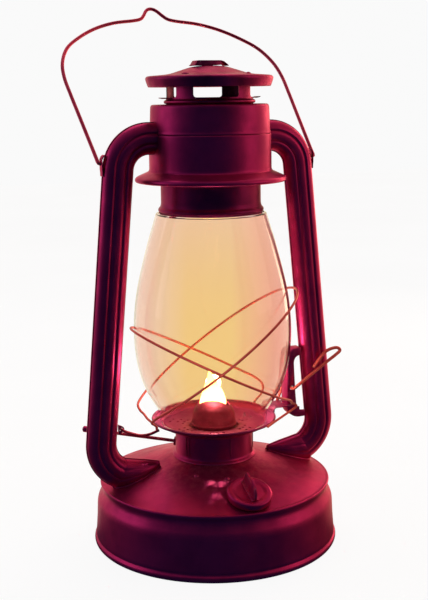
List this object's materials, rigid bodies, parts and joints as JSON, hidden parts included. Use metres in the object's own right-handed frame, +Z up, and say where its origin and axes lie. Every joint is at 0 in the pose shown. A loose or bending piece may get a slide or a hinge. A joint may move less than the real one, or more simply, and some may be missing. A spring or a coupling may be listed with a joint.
{
  "type": "barn lantern",
  "caption": "Tubular oil lantern with a round tank, two side air tubes, a lift-up glass globe, a sprung hood and a wire bail.",
  "frame": {"origin": "centre of the flat bottom of the tank, on the surface it stands on", "axes": "+Z up, +X through the right-hand air tube with the globe lever, -Y to the front with the filler cap"},
  "size_m": [0.1751, 0.1867, 0.3469],
  "materials": {
    "burgundy_paint": "glossy burgundy enamel with small scuffs",
    "dark_paint": "dull dark burgundy enamel",
    "clear_glass": "clear polished glass",
    "aged_brass": "heat-darkened brass",
    "spring_steel": "plain steel wire",
    "seal_cork": "cork",
    "wick_cotton": "woven cotton, charred at the top"
  },
  "bodies": {
    "frame": {"tank_shell": "burgundy_paint", "tank_bottom": "burgundy_paint", "air_deck": "dark_paint", "burner_collar": "burgundy_paint", "filler_neck": "burgundy_paint", "tube_right_front": "burgundy_paint", "tube_right_rear": "burgundy_paint", "tube_left_front": "burgundy_paint", "tube_left_rear": "burgundy_paint", "bail_ear_right": "burgundy_paint", "bail_ear_left": "burgundy_paint", "chamber_lower": "burgundy_paint", "chamber_upper": "burgundy_paint", "hood_spring": "spring_steel", "lift_bracket": "burgundy_paint", "link_lug": "burgundy_paint", "burner_body": "aged_brass", "burner_dome": "aged_brass", "wick_tube": "aged_brass", "shaft_bushing": "aged_brass"},
    "carrier": {"globe_plate": "burgundy_paint", "guard_wire_a": "burgundy_paint", "guard_wire_b": "burgundy_paint", "globe": "clear_glass"},
    "hood": {"hood_chimney": "burgundy_paint", "hood_crown": "burgundy_paint", "hood_cap": "burgundy_paint", "hood_handle": "burgundy_paint"},
    "lever": {"lift_lever": "burgundy_paint"},
    "link": {"plate_link": "burgundy_paint"},
    "bail": {"bail": "burgundy_paint"},
    "wick_raiser": {"wick_shaft": "spring_steel", "spur_wheel_1": "aged_brass", "spur_wheel_2": "aged_brass", "wick_knob": "burgundy_paint"},
    "wick": {"wick": "wick_cotton"},
    "filler_seal": {"filler_gasket": "seal_cork"},
    "filler_lid": {"filler_cap": "burgundy_paint", "filler_cap_wing": "burgundy_paint"}
  },
  "joints": [
    {"name": "globe_lift", "type": "slide", "parent": "frame", "child": "carrier", "axis": [0, 0, 1], "range_m": [0, 0.0075], "stiffness_N_per_m": 250, "springref_m": -0.012},
    {"name": "lever_pivot", "type": "hinge", "parent": "frame", "child": "lever", "pos_m": [0.0546, 0, 0.094], "axis": [0, 1, 0], "range_deg": [0, 45.8]},
    {"name": "link_pivot", "type": "hinge", "parent": "frame", "child": "link", "pos_m": [-0.0634, 0, 0.0796], "axis": [0, 1, 0], "range_deg": [-17.3, 0]},
    {"name": "hood_lift", "type": "slide", "parent": "carrier", "child": "hood", "axis": [0, 0, 1], "range_m": [0, 0.016], "stiffness_N_per_m": 250, "springref_m": -0.02, "deforming": ["hood_spring"]},
    {"name": "bail_swing", "type": "hinge", "parent": "frame", "child": "bail", "pos_m": [0, 0, 0.2466], "axis": [1, 0, 0], "range_deg": [-105, 198]},
    {"name": "wick_knob_turn", "type": "hinge", "parent": "frame", "child": "wick_raiser", "pos_m": [0.0028, 0.00485, 0.058], "axis": [-0.8613, 0.4973, 0.1045], "range_deg": [-80, 80]},
    {"name": "wick_travel", "type": "slide", "parent": "frame", "child": "wick", "axis": [0, 0, 1], "range_m": [-0.00628, 0.00628]},
    {"name": "filler_travel", "type": "slide", "parent": "frame", "child": "filler_seal", "axis": [-0.015, -0.3581, 0.9336], "range_m": [0, 0.0045]},
    {"name": "filler_turn", "type": "hinge", "parent": "filler_seal", "child": "filler_lid", "pos_m": [-0.00251, -0.05995, 0.04487], "axis": [-0.015, -0.3581, 0.9336], "range_deg": [0, 540]}
  ],
  "couplings": [
    {"joint": "lever_pivot", "follows": "globe_lift", "rad_per_m": 106.4},
    {"joint": "link_pivot", "follows": "globe_lift", "rad_per_m": -40},
    {"joint": "wick_knob_turn", "follows": "wick_travel", "rad_per_m": 222.22},
    {"joint": "filler_turn", "follows": "filler_travel", "rad_per_m": 2094.3}
  ]
}
